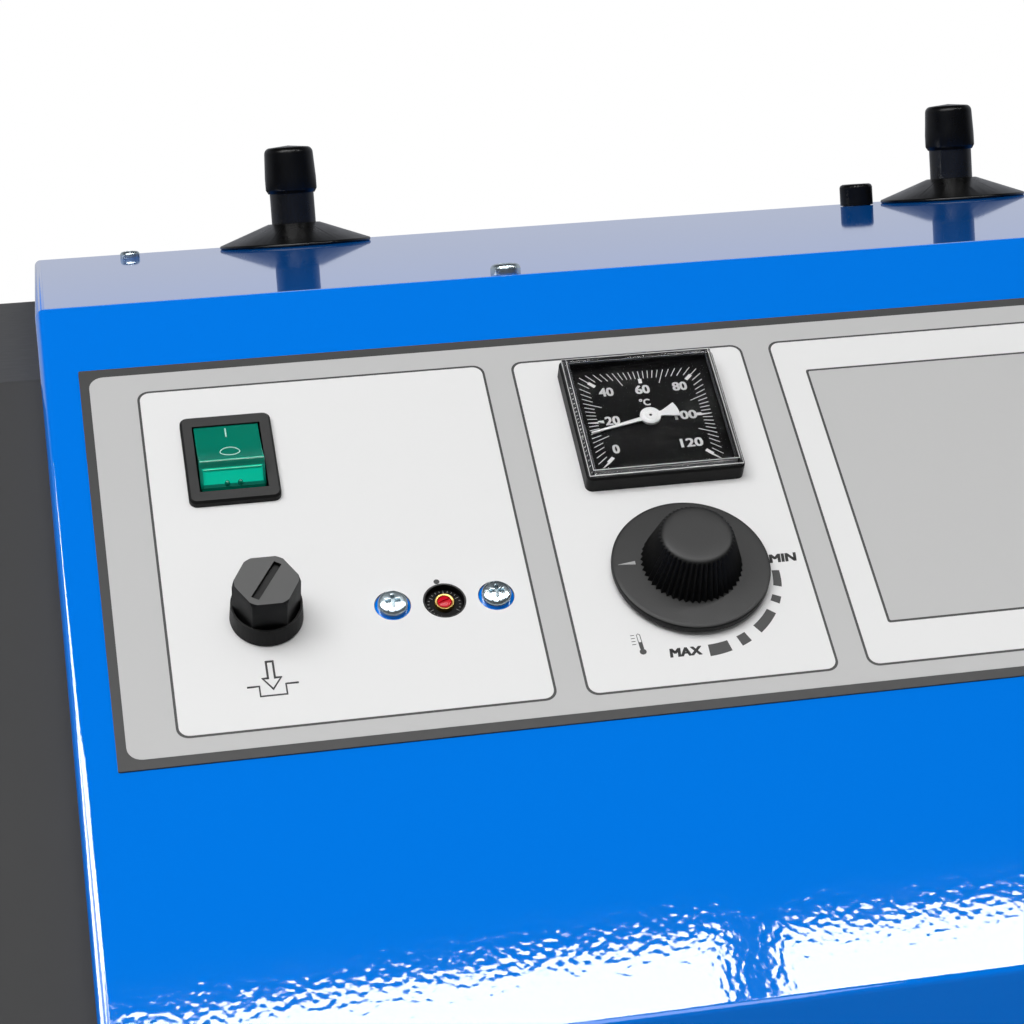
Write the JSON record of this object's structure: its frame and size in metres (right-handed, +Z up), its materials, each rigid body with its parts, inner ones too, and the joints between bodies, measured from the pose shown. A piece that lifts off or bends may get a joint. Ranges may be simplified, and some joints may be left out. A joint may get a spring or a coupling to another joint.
{
  "type": "boiler control panel hood",
  "caption": "Folded sheet hood of a wood gasification boiler with its sloped instrument panel, side casings and capped cooling pipes, on the vessel's top plate.",
  "frame": {"origin": "middle of the base, on the underside of the vessel's top plate", "axes": "+X to the right seen from the front, +Y from the instrument panel to the back, +Z up"},
  "size_m": [0.676, 0.7556, 0.2534],
  "materials": {
    "blue_powder_coat": "high gloss powder coat with orange peel",
    "printed_label": "satin printed film",
    "dark_powder_coat": "fine textured satin powder coat",
    "boiler_steel": "bare mill plate",
    "mineral_wool": "matted fibre",
    "zinc_plated_steel": "bright zinc plate",
    "black_moulding": "fine spark-eroded moulding",
    "green_translucent": "clear tinted gloss",
    "brass": "stamped",
    "reset_moulding": "moulded satin",
    "pale_moulding": "moulded satin",
    "dial_black": "matt print",
    "pointer_white": "matt enamel",
    "clear_cover": "clear moulded acrylic",
    "pipe_black": "satin lacquer",
    "soft_black": "glossy soft PVC"
  },
  "bodies": {
    "hood_assembly": {"hood_cover": "blue_powder_coat", "fascia_label": "printed_label", "side_casing_left": "dark_powder_coat", "side_casing_right": "dark_powder_coat", "rear_panel": "dark_powder_coat", "boiler_top_plate": "boiler_steel", "insulation_mat": "mineral_wool", "bracket_front_left": "zinc_plated_steel", "bracket_front_right": "zinc_plated_steel", "bracket_rear_left": "zinc_plated_steel", "bracket_rear_right": "zinc_plated_steel", "hood_screws_front": "zinc_plated_steel", "hood_screws_rear": "zinc_plated_steel", "switch_housing": "black_moulding", "switch_terminals": "brass", "reset_cap": "reset_moulding", "reset_thermostat": "pale_moulding", "flue_thermostat": "zinc_plated_steel", "flue_screws": "zinc_plated_steel", "thermometer_case": "black_moulding", "thermometer_dial": "dial_black", "thermometer_lens": "clear_cover", "boiler_thermostat": "pale_moulding", "thermostat_nut": "zinc_plated_steel", "cooling_pipe_left": "pipe_black", "cooling_pipe_right": "pipe_black", "rosette_left": "soft_black", "rosette_right": "soft_black", "pipe_cap_left": "soft_black", "pipe_cap_right": "soft_black", "sensor_well": "boiler_steel", "sensor_plug": "soft_black"},
    "rocker": {"switch_rocker": "green_translucent"},
    "knob": {"thermostat_knob": "black_moulding", "knob_spindle": "zinc_plated_steel"},
    "flue_adjuster": {"flue_dial": "dial_black"},
    "gauge_pointer": {"thermometer_pointer": "pointer_white"}
  },
  "joints": [
    {"name": "rocker_tilt", "type": "hinge", "parent": "hood_assembly", "child": "rocker", "pos_m": [-0.2438, -0.24037, 0.15822], "axis": [1, 0, 0], "range_deg": [0, 36]},
    {"name": "knob_turn", "type": "hinge", "parent": "hood_assembly", "child": "knob", "pos_m": [-0.1249, -0.28262, 0.12502], "axis": [0, -0.6884, 0.7254], "range_deg": [0, 182]},
    {"name": "flue_adjuster_turn", "type": "hinge", "parent": "hood_assembly", "child": "flue_adjuster", "pos_m": [-0.1927, -0.28241, 0.12247], "axis": [0, -0.6884, 0.7254], "range_deg": [-135, 135]},
    {"name": "pointer_turn", "type": "hinge", "parent": "hood_assembly", "child": "gauge_pointer", "pos_m": [-0.125, -0.24566, 0.16423], "axis": [0, -0.6884, 0.7254], "range_deg": [-238.5, 31.5]}
  ]
}
